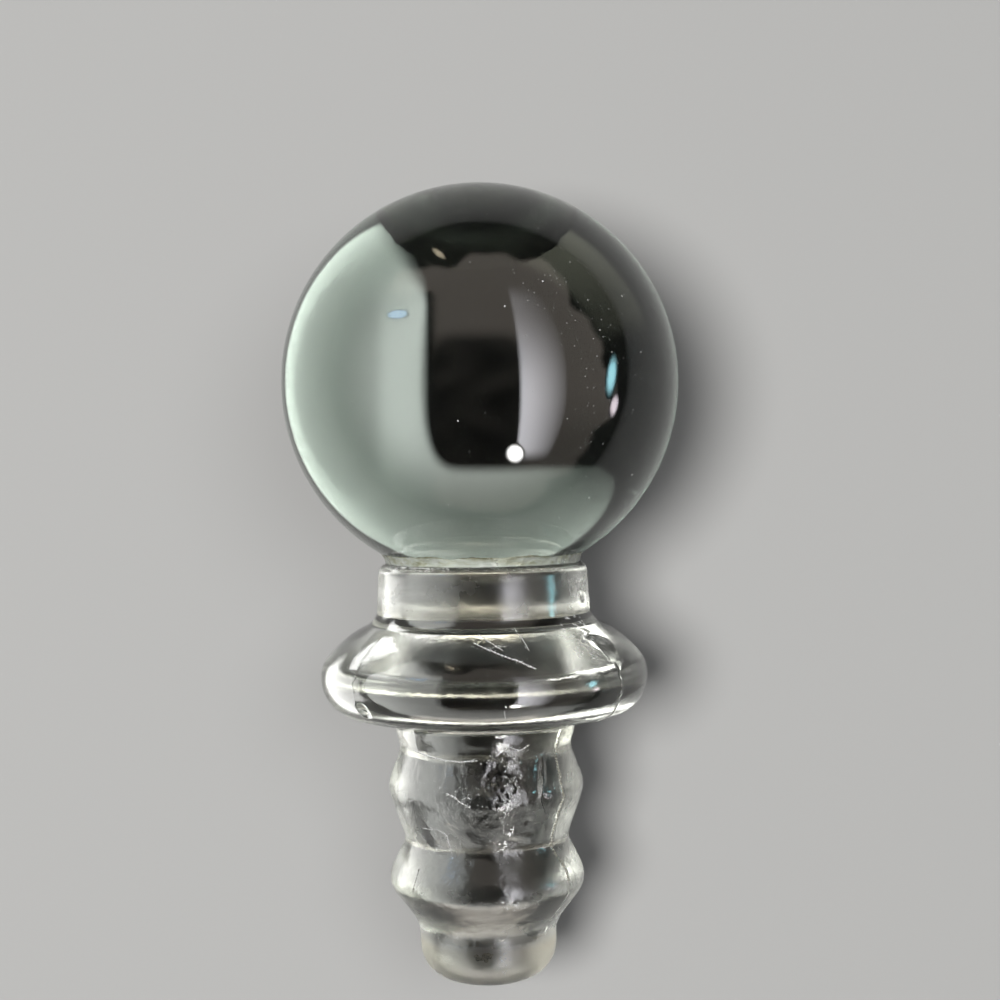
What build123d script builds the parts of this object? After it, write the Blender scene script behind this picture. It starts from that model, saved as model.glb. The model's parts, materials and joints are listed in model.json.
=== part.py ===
from build123d import *
import math
import os

os.makedirs("parts", exist_ok=True)

# A decanter stopper: a solid glass ball bonded to a pressed glass base.
# Lengths in millimetres. s is the distance from the ball's centre along the
# stopper's own axis, towards the end of the plug, and r the distance from it.

# --- ball ---
ball_r = 19.0

# --- seat of the ball and bond line ---
bond_gap = 0.15          # film of adhesive between ball and seat
seat_r = ball_r + bond_gap
collar_top_s = 17.2      # flat rim that the bead of adhesive sits on
collar_flat_r = 9.35
bead_foot_r = 9.3
bead_top_r = 9.72        # where the bead ends on the ball

# --- collar ---
shoulder_r, shoulder_s = 10.03, 18.2
collar_foot_r, collar_foot_s = 10.27, 21.95

# --- flange ---
dome_r, dome_s = 11.12, 23.1
rim_top_r, rim_top_s = 15.27, 26.4
flange_r, flange_s = 15.70, 28.05
rim_low_r, rim_low_s = 15.42, 29.45
lip_seat_s = 31.65       # flat underside that rests on a bottle's lip
lip_seat_r_out, lip_seat_r_in = 12.7, 10.1

# --- plug ---
neck_r, neck_s = 8.21, 34.8
rib_r = 9.36             # both ribs carry a narrow cylindrical land of this radius
rib_1 = (38.35, 39.0)
groove_r, groove_s = 7.83, 43.55
rib_2 = (47.15, 47.75)
nose_r, nose_s = 6.56, 52.4
end_s, end_flat_r = 57.4, 2.6
end_reach = 57.37        # how far the rounded end reaches along the floor

# --- damage: each is a shallow shell-shaped scoop, cut by a ball ---
# azimuth, s and r of the surface at its middle, outward slope, depth, tool radius
nick = (-46.0, 29.85, 15.22, 40.0, 0.30, 1.05)       # in the flange's lower edge
collar_chip = (67.0, 19.5, 10.12, 0.0, 0.22, 3.4)    # in the side of the collar
flange_spall = (52.0, 24.8, 13.87, -52.0, 0.45, 7.0)  # on the flange's dome

# --- how it lies ---
# The ball and the flange's rim both touch the floor, so the axis is tilted.
# The rim's circle in section passes through its three stated points.


def circle_through(p, q, w):
    (ax, ay), (bx, by), (cx, cy) = p, q, w
    d = 2 * (ax * (by - cy) + bx * (cy - ay) + cx * (ay - by))
    ux = ((ax**2 + ay**2) * (by - cy) + (bx**2 + by**2) * (cy - ay) + (cx**2 + cy**2) * (ay - by)) / d
    uy = ((ax**2 + ay**2) * (cx - bx) + (bx**2 + by**2) * (ax - cx) + (cx**2 + cy**2) * (bx - ax)) / d
    return ux, uy, math.hypot(ax - ux, ay - uy)


rim_cr, rim_cs, rim_rad = circle_through(
    (rim_top_r, rim_top_s), (flange_r, flange_s), (rim_low_r, rim_low_s)
)
tilt = math.asin((ball_r - rim_rad) / math.hypot(rim_cs, rim_cr)) - math.atan2(rim_cr, rim_cs)
c, n = math.cos(tilt), math.sin(tilt)
ball_y = (end_reach - ball_r) / 2
ball_z = ball_r
centre = Vector(0, ball_y, ball_z)
along = Vector(0, -c, -n)                 # from the ball to the end of the plug
up = Vector(0, -n, c)                     # square to the axis, facing the sky
stopper_axis = Axis(centre, along)
# Half-section plane: its x is r, to +X, and its y is s, along the axis.
section = Plane(origin=centre, x_dir=(1, 0, 0), z_dir=(0, n, -c))


def on_sphere(radius, s):
    return math.sqrt(radius**2 - s**2)


def at(s, r, azimuth):
    # azimuth 0 faces the sky, positive turns towards +X
    a = math.radians(azimuth)
    return centre + along * s + up * (r * math.cos(a)) + Vector(1, 0, 0) * (r * math.sin(a))


def scoop(azimuth, s, r, slope, depth, tool):
    # where the cutting ball stands, so that it bites to the given depth
    b = math.radians(slope)
    out = tool - depth
    return at(s + out * math.sin(b), r + out * math.cos(b), azimuth)


seat_edge_r = on_sphere(seat_r, collar_top_s)
bead_top_s = on_sphere(ball_r, bead_top_r)


def seat_point(radius, share):
    # a point on a sphere about the ball's centre, at a share of the seat's half-angle
    a = share * math.asin(seat_edge_r / seat_r)
    return radius * math.sin(a), radius * math.cos(a)


with BuildPart() as ball_knob:
    with BuildSketch(section):
        with BuildLine():
            ThreePointArc((0, -ball_r), (ball_r, 0), (0, ball_r))
            Line((0, ball_r), (0, -ball_r))
        make_face()
    revolve(axis=stopper_axis)
# turned about its own axis, so that its seam lies away from the floor
ball = ball_knob.part.rotate(stopper_axis, 110)
ball.label = "ball_knob"

with BuildPart() as plug_base:
    with BuildSketch(section) as base_profile:
        with BuildLine():
            # shallow cup that the ball is bedded in, and the collar's rim
            ThreePointArc((0, seat_r), seat_point(seat_r, 0.5), (seat_edge_r, collar_top_s))
            Line((seat_edge_r, collar_top_s), (collar_flat_r, collar_top_s))
            ThreePointArc((collar_flat_r, collar_top_s), (9.80, 17.56), (shoulder_r, shoulder_s))
            # collar, flared by its draft, and its foot
            Line((shoulder_r, shoulder_s), (collar_foot_r, collar_foot_s))
            ThreePointArc((collar_foot_r, collar_foot_s), (10.56, 22.52), (dome_r, dome_s))
            # flange: dome, rim and lower edge
            ThreePointArc((dome_r, dome_s), (13.42, 24.47), (rim_top_r, rim_top_s))
            ThreePointArc((rim_top_r, rim_top_s), (flange_r, flange_s), (rim_low_r, rim_low_s))
            ThreePointArc((rim_low_r, rim_low_s), (14.27, 31.0), (lip_seat_r_out, lip_seat_s))
            Line((lip_seat_r_out, lip_seat_s), (lip_seat_r_in, lip_seat_s))
            # neck
            ThreePointArc((lip_seat_r_in, lip_seat_s), (9.06, 32.1), (8.62, 33.3))
            Line((8.62, 33.3), (8.30, 34.3))
            ThreePointArc((8.30, 34.3), (neck_r, neck_s), (8.33, 35.4))
            # upper rib
            Line((8.33, 35.4), (9.22, 37.85))
            ThreePointArc((9.22, 37.85), (9.324, 38.1), (rib_r, rib_1[0]))
            Line((rib_r, rib_1[0]), (rib_r, rib_1[1]))
            ThreePointArc((rib_r, rib_1[1]), (9.322, 39.2), (9.22, 39.45))
            Line((9.22, 39.45), (7.95, 43.1))
            # groove
            ThreePointArc((7.95, 43.1), (groove_r, groove_s), (7.97, 44.1))
            # lower rib
            Line((7.97, 44.1), (9.15, 46.45))
            ThreePointArc((9.15, 46.45), (9.295, 46.8), (rib_r, rib_2[0]))
            Line((rib_r, rib_2[0]), (rib_r, rib_2[1]))
            ThreePointArc((rib_r, rib_2[1]), (9.275, 48.12), (9.08, 48.5))
            Line((9.08, 48.5), (7.50, 50.6))
            # nose, with a rounded end
            ThreePointArc((7.50, 50.6), (6.86, 51.6), (nose_r, nose_s))
            Line((nose_r, nose_s), (6.55, 54.0))
            Spline(
                [(6.55, 54.0), (6.42, 54.85), (6.07, 55.65), (5.42, 56.4), (4.45, 57.0), (end_flat_r, end_s)],
                tangents=[(0, 1), (-1, 0)],
            )
            Line((end_flat_r, end_s), (0, end_s))
            Line((0, end_s), (0, seat_r))
        make_face()
    revolve(axis=stopper_axis)
    for damage in (nick, collar_chip, flange_spall):
        with Locations(scoop(*damage)):
            Sphere(damage[-1], mode=Mode.SUBTRACT)
plug_base.part.label = "plug_base"

with BuildPart() as bond_bead:
    with BuildSketch(section):
        with BuildLine():
            ThreePointArc(
                (0, ball_r),
                (ball_r * math.sin(0.27), ball_r * math.cos(0.27)),
                (bead_top_r, bead_top_s),
            )
            # the bead's hollow outer face
            ThreePointArc((bead_top_r, bead_top_s), (9.42, 16.75), (bead_foot_r, collar_top_s))
            Line((bead_foot_r, collar_top_s), (seat_edge_r, collar_top_s))
            ThreePointArc((seat_edge_r, collar_top_s), seat_point(seat_r, 0.5), (0, seat_r))
            Line((0, seat_r), (0, ball_r))
        make_face()
    revolve(axis=stopper_axis)
bond_bead.part.label = "bond_bead"

export_step(ball, "parts/ball_knob.step")
export_step(plug_base.part, "parts/plug_base.step")
export_step(bond_bead.part, "parts/bond_bead.step")

whole = Compound(children=[ball, plug_base.part, bond_bead.part])
box = whole.bounding_box()
print("tilt", round(math.degrees(tilt), 4), "ball centre", centre, "along", along)
print("box", box.min, box.max)
for name, s in (("plug", (rib_1[0] + rib_2[1]) / 2), ("end", end_s)):
    print(name, at(s, 0, 0))
print("lip seat point", at(lip_seat_s, (lip_seat_r_in + lip_seat_r_out) / 2, 0))
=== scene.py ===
# A decanter stopper lying on a pale floor: a ball of pale green glass bonded to
# a pressed glass base. Lengths in the working code are millimetres, as s, the
# distance from the ball's centre along the stopper's axis, r, the distance from
# that axis, and the azimuth about it, 0 facing the sky.
import math

import bpy
import numpy as np
from mathutils import Matrix, Vector
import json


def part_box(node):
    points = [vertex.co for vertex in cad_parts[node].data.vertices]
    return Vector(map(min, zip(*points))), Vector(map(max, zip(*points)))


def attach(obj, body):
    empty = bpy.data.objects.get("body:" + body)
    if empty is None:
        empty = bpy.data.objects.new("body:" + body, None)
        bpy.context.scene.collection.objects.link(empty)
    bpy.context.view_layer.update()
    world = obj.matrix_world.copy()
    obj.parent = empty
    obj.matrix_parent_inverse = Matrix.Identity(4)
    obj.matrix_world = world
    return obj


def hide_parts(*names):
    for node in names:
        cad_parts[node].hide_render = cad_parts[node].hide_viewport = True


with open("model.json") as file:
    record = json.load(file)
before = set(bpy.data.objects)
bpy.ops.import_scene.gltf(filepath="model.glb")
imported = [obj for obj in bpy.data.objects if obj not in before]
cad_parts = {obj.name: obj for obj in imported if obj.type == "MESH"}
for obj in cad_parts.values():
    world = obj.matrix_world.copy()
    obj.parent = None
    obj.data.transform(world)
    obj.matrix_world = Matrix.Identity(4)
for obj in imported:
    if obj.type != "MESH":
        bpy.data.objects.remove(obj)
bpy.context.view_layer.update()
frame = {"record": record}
MM = 0.001

# ---------------------------------------------------------------- the frame
ball_lo, ball_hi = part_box("ball_knob")
CENTRE = np.array((ball_lo + ball_hi) / 2) / MM
BALL_R = 19.0
CENTRE[0], CENTRE[2] = 0.0, BALL_R
plug_mount = [m for m in frame["record"]["mounts"] if m["name"] == "plug_ribs"][0]
ALONG = np.array(plug_mount["axis"], float)
ALONG /= np.linalg.norm(ALONG)
SIDE = np.array((1.0, 0.0, 0.0))
UP = np.cross(SIDE, ALONG)
UP *= np.sign(UP[2])
CENTRE[1] = 19.185


def place(s, r, azimuth):
    """Points in metres from arrays of s, r and azimuth in degrees."""
    a = np.radians(azimuth)
    p = (
        CENTRE
        + np.multiply.outer(s, ALONG)
        + (r * np.cos(a))[..., None] * UP
        + (r * np.sin(a))[..., None] * SIDE
    )
    return p * MM


# ------------------------------------------------------------- main camera
FOCAL = 1700.0  # pixels, for a frame 1000 pixels wide
lean = math.atan2(-ALONG[2], -ALONG[1]) - math.atan(39.0 / FOCAL)
F = np.array((0.0, math.sin(lean), -math.cos(lean)))
D = np.array((0.0, -math.cos(lean), -math.sin(lean)))
ROLL = 0.0157
Rt = math.cos(ROLL) * SIDE + math.sin(ROLL) * D
Dn = math.cos(ROLL) * D - math.sin(ROLL) * SIDE
EYE = CENTRE - (-1.930 * Rt - 11.268 * Dn + 163.512 * F)
EYE_FAR = float(np.linalg.norm(EYE - CENTRE))


def ray(x, y):
    d = F + (x - 500) / FOCAL * Rt + (y - 500) / FOCAL * Dn
    return d / np.linalg.norm(d)


# ------------------------------------------------------------------- noise
_rng = np.random.RandomState(20417)
_perm = np.tile(_rng.permutation(512), 2)
_grad = _rng.normal(size=(512, 3))
_grad /= np.linalg.norm(_grad, axis=1)[:, None]


def noise(p, scale, seed=0):
    """Gradient noise of points (n, 3), about -0.7 to 0.7, one cell every `scale`."""
    q = np.asarray(p, float) / scale + seed * 17.31
    i = np.floor(q).astype(int)
    f = q - i
    u = f * f * f * (f * (f * 6 - 15) + 10)
    out = 0.0
    for dx in (0, 1):
        for dy in (0, 1):
            for dz in (0, 1):
                h = _perm[(_perm[(_perm[(i[..., 0] + dx) & 511] + i[..., 1] + dy) & 511] + i[..., 2] + dz) & 511]
                g = _grad[h]
                d = f - np.array((dx, dy, dz))
                w = (
                    (u[..., 0] if dx else 1 - u[..., 0])
                    * (u[..., 1] if dy else 1 - u[..., 1])
                    * (u[..., 2] if dz else 1 - u[..., 2])
                )
                out = out + w * (g * d).sum(-1)
    return out


def fractal(p, scale, octaves=3, seed=0, gain=0.5):
    return sum(gain**k * noise(p, scale / 2**k, seed + 3 * k) for k in range(octaves))


def smooth(x, a, b):
    t = np.clip((x - a) / (b - a), 0, 1)
    return t * t * (3 - 2 * t)


def window(x, a, b, soft):
    return smooth(x, a - soft, a + soft) * (1 - smooth(x, b - soft, b + soft))


# ------------------------------------------------------------ profile tools
def arc(p, q, w, n):
    """n points after p on the circle through p, q and w, ending at w."""
    (ax, ay), (bx, by), (cx, cy) = p, q, w
    d = 2 * (ax * (by - cy) + bx * (cy - ay) + cx * (ay - by))
    ux = ((ax**2 + ay**2) * (by - cy) + (bx**2 + by**2) * (cy - ay) + (cx**2 + cy**2) * (ay - by)) / d
    uy = ((ax**2 + ay**2) * (cx - bx) + (bx**2 + by**2) * (ax - cx) + (cx**2 + cy**2) * (bx - ax)) / d
    a0, a1, a2 = (math.atan2(y - uy, x - ux) for x, y in (p, q, w))
    turn = (a2 - a0) % (2 * math.pi)
    if (a1 - a0) % (2 * math.pi) > turn:
        turn -= 2 * math.pi
    rad = math.hypot(ax - ux, ay - uy)
    return [(ux + rad * math.cos(a0 + turn * k / n), uy + rad * math.sin(a0 + turn * k / n)) for k in range(1, n + 1)]


def line(p, w, n):
    return [(p[0] + (w[0] - p[0]) * k / n, p[1] + (w[1] - p[1]) * k / n) for k in range(1, n + 1)]


def curve(points, t0, t1, per):
    """Hermite curve through the points, with unit tangents given at its ends."""
    pts = [np.array(p, float) for p in points]
    tan = [np.array(t0, float)] + [None] * (len(pts) - 2) + [np.array(t1, float)]
    for i in range(1, len(pts) - 1):
        v = pts[i + 1] - pts[i - 1]
        tan[i] = v / np.linalg.norm(v)
    out = []
    for i in range(len(pts) - 1):
        h = np.linalg.norm(pts[i + 1] - pts[i])
        for k in range(1, per + 1):
            t = k / per
            out.append(
                tuple(
                    (2 * t**3 - 3 * t**2 + 1) * pts[i]
                    + (t**3 - 2 * t**2 + t) * h * tan[i]
                    + (3 * t**2 - 2 * t**3) * pts[i + 1]
                    + (t**3 - t**2) * h * tan[i + 1]
                )
            )
    return out


def mesh_object(name, verts, faces, material):
    mesh = bpy.data.meshes.new(name)
    mesh.from_pydata(verts.tolist() if hasattr(verts, "tolist") else verts, [], faces)
    mesh.polygons.foreach_set("use_smooth", [True] * len(mesh.polygons))
    mesh.update()
    o = bpy.data.objects.new(name, mesh)
    bpy.context.scene.collection.objects.link(o)
    for m in material if isinstance(material, (list, tuple)) else [material]:
        mesh.materials.append(m)
    return o


def lathe_faces(stations, columns, start=0, closed_profile=False):
    """Quads of a lathed grid whose first and last rows are single points on the axis."""
    faces = []
    if closed_profile:
        for i in range(stations):
            a, b = start + i * columns, start + ((i + 1) % stations) * columns
            for j in range(columns):
                k = (j + 1) % columns
                faces.append((a + j, b + j, b + k, a + k))
        return faces
    first, last = start, start + 1 + (stations - 2) * columns
    for j in range(columns):
        k = (j + 1) % columns
        faces.append((first, start + 1 + j, start + 1 + k))
    for i in range(stations - 3):
        a = start + 1 + i * columns
        b = a + columns
        for j in range(columns):
            k = (j + 1) % columns
            faces.append((a + j, b + j, b + k, a + k))
    a = start + 1 + (stations - 3) * columns
    for j in range(columns):
        k = (j + 1) % columns
        faces.append((a + j, last, a + k))
    return faces


def outward(o):
    """Turns the faces of a closed mesh outward."""
    mesh = o.data
    co = np.empty(len(mesh.vertices) * 3)
    mesh.vertices.foreach_get("co", co)
    co = co.reshape(-1, 3)
    mesh.calc_loop_triangles()
    tri = np.empty(len(mesh.loop_triangles) * 3, int)
    mesh.loop_triangles.foreach_get("vertices", tri)
    t = co[tri.reshape(-1, 3)]
    volume = np.einsum("ij,ij->i", t[:, 0], np.cross(t[:, 1], t[:, 2])).sum() / 6
    if volume < 0:
        mesh.flip_normals()
    return abs(volume)


# ---------------------------------------------------------------- materials
def new_material(name):
    m = bpy.data.materials.new(name)
    m.use_nodes = True
    nt = m.node_tree
    bsdf = nt.nodes["Principled BSDF"]
    out = nt.nodes["Material Output"]
    return m, nt, bsdf, out


def ramp(nt, source, stops):
    n = nt.nodes.new("ShaderNodeValToRGB")
    e = n.color_ramp.elements
    e[0].position, e[0].color = stops[0][0], (stops[0][1],) * 3 + (1,)
    e[1].position, e[1].color = stops[-1][0], (stops[-1][1],) * 3 + (1,)
    for p, v in stops[1:-1]:
        x = e.new(p)
        x.color = (v,) * 3 + (1,)
    nt.links.new(source, n.inputs["Fac"])
    return n.outputs["Color"]


def maths(nt, op, a, b=None):
    n = nt.nodes.new("ShaderNodeMath")
    n.operation = op
    for i, v in enumerate((a, b)):
        if v is None:
            continue
        if hasattr(v, "is_linked"):
            nt.links.new(v, n.inputs[i])
        else:
            n.inputs[i].default_value = v
    return n.outputs[0]


def noise_node(nt, vector, scale, detail=3.0, rough=0.55, distortion=0.0):
    n = nt.nodes.new("ShaderNodeTexNoise")
    n.inputs["Scale"].default_value = scale
    n.inputs["Detail"].default_value = detail
    n.inputs["Roughness"].default_value = rough
    n.inputs["Distortion"].default_value = distortion
    nt.links.new(vector, n.inputs["Vector"])
    return n.outputs["Fac"]


def voronoi_node(nt, vector, scale, randomness=1.0):
    n = nt.nodes.new("ShaderNodeTexVoronoi")
    n.inputs["Scale"].default_value = scale
    n.inputs["Randomness"].default_value = randomness
    nt.links.new(vector, n.inputs["Vector"])
    return n.outputs["Distance"]


def bump(nt, height, strength, distance, after=None):
    n = nt.nodes.new("ShaderNodeBump")
    n.inputs["Strength"].default_value = strength
    n.inputs["Distance"].default_value = distance
    nt.links.new(height, n.inputs["Height"])
    if after is not None:
        nt.links.new(after, n.inputs["Normal"])
    return n.outputs["Normal"]


def position(nt):
    return nt.nodes.new("ShaderNodeTexCoord").outputs["Object"]


def volume_absorption(nt, out, colour, density):
    n = nt.nodes.new("ShaderNodeVolumeAbsorption")
    n.inputs["Color"].default_value = (*colour, 1)
    n.inputs["Density"].default_value = density
    nt.links.new(n.outputs["Volume"], out.inputs["Volume"])


def glass_ball_material():
    m, nt, b, out = new_material("ball_green_glass")
    b.inputs["Base Color"].default_value = (1, 1, 1, 1)
    b.inputs["Transmission Weight"].default_value = 1.0
    b.inputs["IOR"].default_value = 1.52
    v = position(nt)
    # finger haze, and a few dull specks of dust
    haze = ramp(nt, noise_node(nt, v, 70, 4), [(0.42, 0.015), (0.75, 0.075)])
    specks = ramp(nt, voronoi_node(nt, v, 260), [(0.0, 1.0), (0.03, 1.0), (0.055, 0.0), (1.0, 0.0)])
    thin = ramp(nt, noise_node(nt, v, 130, 2), [(0.55, 0.0), (0.62, 1.0)])
    speck = maths(nt, "MULTIPLY", specks, thin)
    rough = maths(nt, "ADD", haze, maths(nt, "MULTIPLY", speck, 0.5))
    nt.links.new(rough, b.inputs["Roughness"])
    nt.links.new(bump(nt, speck, 0.6, 0.00003), b.inputs["Normal"])
    volume_absorption(nt, out, (0.55, 0.80, 0.62), 9.0)
    return m


def along_axis(nt, v):
    """s, in metres, from a position."""
    n = nt.nodes.new("ShaderNodeVectorMath")
    n.operation = "DOT_PRODUCT"
    nt.links.new(v, n.inputs[0])
    n.inputs[1].default_value = tuple(ALONG)
    return maths(nt, "SUBTRACT", n.outputs["Value"], float(CENTRE @ ALONG) * MM)


def map_range(nt, value, a, b, lo=0.0, hi=1.0):
    n = nt.nodes.new("ShaderNodeMapRange")
    n.interpolation_type = "SMOOTHSTEP"
    for key, x in (("From Min", a), ("From Max", b), ("To Min", lo), ("To Max", hi)):
        n.inputs[key].default_value = x
    nt.links.new(value, n.inputs["Value"])
    return n.outputs["Result"]


def glass_base_material():
    m, nt, b, out = new_material("base_clear_glass")
    b.inputs["Transmission Weight"].default_value = 1.0
    b.inputs["IOR"].default_value = 1.56
    b.inputs["Specular IOR Level"].default_value = 0.75
    # the base colour: stains, and painted shade on the neck and on the first rib's lower slope
    stain_and_shade = nt.nodes.new("ShaderNodeAttribute")
    stain_and_shade.attribute_name = "stain_and_shade"
    nt.links.new(stain_and_shade.outputs["Color"], b.inputs["Base Color"])
    v = position(nt)
    s = along_axis(nt, v)
    plug = map_range(nt, s, 0.0320, 0.0345)
    nose = map_range(nt, s, 0.0515, 0.0530)
    broad = noise_node(nt, v, 520, 4, 0.6, 0.4)
    fine = noise_node(nt, v, 2600, 3, 0.6)
    normal = bump(nt, maths(nt, "MULTIPLY", broad, map_range(nt, s, 0.030, 0.0345, 0.3, 1.0)), 0.6, 0.00010)
    grain = maths(nt, "MULTIPLY", noise_node(nt, v, 1500, 3, 0.6), map_range(nt, s, 0.030, 0.0345, 0.25, 1.0))
    normal = bump(nt, grain, 0.8, 0.00006, normal)
    normal = bump(nt, fine, 0.15, 0.00003, normal)
    nt.links.new(normal, b.inputs["Normal"])
    # clear above the flange's underside, hazier on the plug, and dull on its worn nose
    haze = ramp(nt, noise_node(nt, v, 340, 4, 0.6), [(0.36, 0.12), (0.66, 0.30)])
    clear = ramp(nt, noise_node(nt, v, 300, 4), [(0.40, 0.04), (0.72, 0.20)])
    keep = maths(nt, "MULTIPLY", haze, plug)
    rest = maths(nt, "MULTIPLY", clear, maths(nt, "SUBTRACT", 1.0, plug))
    collar = map_range(nt, s, 0.0222, 0.0212, 0.0, 0.14)
    both = maths(nt, "ADD", maths(nt, "ADD", keep, rest), collar)
    nt.links.new(maths(nt, "ADD", both, maths(nt, "MULTIPLY", nose, 0.15)), b.inputs["Roughness"])
    volume_absorption(nt, out, (0.62, 0.63, 0.57), 30.0)
    return m


def frosted_material():
    m, nt, b, out = new_material("frosted_flakes")
    b.inputs["Transmission Weight"].default_value = 0.0
    b.inputs["IOR"].default_value = 1.52
    v = position(nt)
    tone = ramp(nt, noise_node(nt, v, 900, 3), [(0.35, 0.72), (0.62, 1.0)])
    nt.links.new(tone, b.inputs["Base Color"])
    nt.links.new(ramp(nt, noise_node(nt, v, 3000, 2), [(0.3, 0.25), (0.7, 0.6)]), b.inputs["Roughness"])
    return m


def worn_material():
    m, nt, b, out = new_material("worn_seam")
    b.inputs["IOR"].default_value = 1.52
    v = position(nt)
    tone = nt.nodes.new("ShaderNodeValToRGB")
    e = tone.color_ramp.elements
    e[0].position, e[0].color = 0.35, (0.30, 0.29, 0.24, 1)
    e[1].position, e[1].color = 0.65, (0.62, 0.60, 0.50, 1)
    nt.links.new(noise_node(nt, v, 1100, 4), tone.inputs["Fac"])
    nt.links.new(tone.outputs["Color"], b.inputs["Base Color"])
    nt.links.new(ramp(nt, noise_node(nt, v, 2500, 2), [(0.3, 0.3), (0.7, 0.6)]), b.inputs["Roughness"])
    return m


def residue_material():
    m, nt, b, out = new_material("dark_residue")
    v = position(nt)
    tone = ramp(nt, noise_node(nt, v, 1200, 3), [(0.35, 0.012), (0.65, 0.05)])
    nt.links.new(tone, b.inputs["Base Color"])
    nt.links.new(ramp(nt, noise_node(nt, v, 2500, 2), [(0.3, 0.2), (0.7, 0.5)]), b.inputs["Roughness"])
    return m


def adhesive_material():
    m, nt, b, out = new_material("olive_adhesive")
    v = position(nt)
    b.inputs["Transmission Weight"].default_value = 0.5
    b.inputs["IOR"].default_value = 1.5
    # streaks that run round the joint
    flat = nt.nodes.new("ShaderNodeVectorMath")
    flat.operation = "MULTIPLY"
    nt.links.new(v, flat.inputs[0])
    flat.inputs[1].default_value = (0.22, 1.0, 0.6)
    tone = nt.nodes.new("ShaderNodeValToRGB")
    e = tone.color_ramp.elements
    e[0].position, e[0].color = 0.24, (0.12, 0.12, 0.06, 1)
    e[1].position, e[1].color = 0.66, (0.92, 0.97, 0.90, 1)
    for p, c in ((0.36, (0.38, 0.39, 0.24, 1)), (0.45, (0.62, 0.66, 0.52, 1)), (0.55, (0.78, 0.84, 0.74, 1))):
        e.new(p).color = c
    streak = noise_node(nt, flat.outputs["Vector"], 1300, 5, 0.65)
    s = along_axis(nt, v)
    # a dark line where it feathers out on the ball, and a paler foot
    rise = map_range(nt, s, 0.01625, 0.01650, -0.22, 0.0)
    foot = map_range(nt, s, 0.01695, 0.01715, 0.0, 0.10)
    nt.links.new(maths(nt, "ADD", maths(nt, "ADD", streak, rise), foot), tone.inputs["Fac"])
    nt.links.new(tone.outputs["Color"], b.inputs["Base Color"])
    rough = ramp(nt, noise_node(nt, flat.outputs["Vector"], 900, 4), [(0.35, 0.06), (0.7, 0.40)])
    nt.links.new(rough, b.inputs["Roughness"])
    nt.links.new(bump(nt, noise_node(nt, flat.outputs["Vector"], 1700, 5, 0.65), 0.8, 0.00012), b.inputs["Normal"])
    return m


# --------------------------------------------------------------------- ball
def make_ball(materials):
    import bmesh

    bm = bmesh.new()
    bmesh.ops.create_icosphere(bm, subdivisions=7, radius=BALL_R * MM)
    mesh = bpy.data.meshes.new("ball")
    bm.to_mesh(mesh)
    bm.free()
    co = np.empty(len(mesh.vertices) * 3)
    mesh.vertices.foreach_get("co", co)
    co = co.reshape(-1, 3)
    co = co / np.linalg.norm(co, axis=1)[:, None] * (BALL_R - 0.008)
    co = (co + CENTRE) * MM
    count = len(mesh.polygons)
    # dust and pits on it, where the main camera sees them, and a few all round
    rng = np.random.RandomState(90)
    dust = Flakes(len(co))

    def grain(n, size, stretch=1.3):
        a = np.cross(n, ALONG)
        a /= np.linalg.norm(a)
        speck(dust, (CENTRE + n * (BALL_R - 0.010), n, a, np.cross(n, a)), size, stretch, rng.uniform(0, 3.1), 0.006, 0.0, rng)

    def seen(x, y):
        d = ray(x, y)
        b = (CENTRE - EYE) @ d
        h = b * b - ((CENTRE - EYE) @ (CENTRE - EYE) - BALL_R**2)
        return None if h < 0 else (EYE + d * (b - math.sqrt(h)) - CENTRE) / BALL_R

    for x, y, size in (
        (543, 281, 0.11), (505, 306, 0.09), (458, 421, 0.08), (622, 296, 0.10), (632, 475, 0.10), (600, 330, 0.07),
        (612, 352, 0.06), (588, 300, 0.06), (570, 262, 0.07), (641, 352, 0.08), (633, 410, 0.07), (603, 444, 0.06),
        (589, 498, 0.07), (559, 518, 0.06), (470, 262, 0.06), (420, 275, 0.05), (392, 352, 0.05), (352, 402, 0.06),
        (331, 348, 0.05), (402, 462, 0.05), (448, 505, 0.06), (505, 538, 0.05), (538, 228, 0.06), (487, 214, 0.05),
    ):
        n = seen(x, y)
        if n is not None:
            grain(n, size)
    for _ in range(150):
        # more of it towards the right-hand limb
        a, k = rng.uniform(-1.3, 0.9), rng.uniform(0.45, 0.97)
        n = seen(480 + 199 * k * math.cos(a), 381 + 198 * k * math.sin(a))
        grain(n, rng.uniform(0.018, 0.045), 1.6)
    for _ in range(160):
        n = rng.normal(size=3)
        n /= np.linalg.norm(n)
        if n @ ALONG < 0.80:
            grain(n, rng.uniform(0.015, 0.045), 1.4)
    verts = np.concatenate([co, dust.array()])
    faces = [tuple(q.vertices) for q in mesh.polygons] + dust.faces
    bpy.data.meshes.remove(mesh)
    o = mesh_object("ball", verts, faces, materials)
    o.data.polygons.foreach_set("material_index", [0] * count + [1] * len(dust.faces))
    return o


# --------------------------------------------------------------------- base
SEAT_R, TOP_S = 19.15, 17.2
SEAT_EDGE = math.sqrt(SEAT_R**2 - TOP_S**2)


def seat(share):
    a = share * math.asin(SEAT_EDGE / SEAT_R)
    return SEAT_R * math.sin(a), SEAT_R * math.cos(a)


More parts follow.
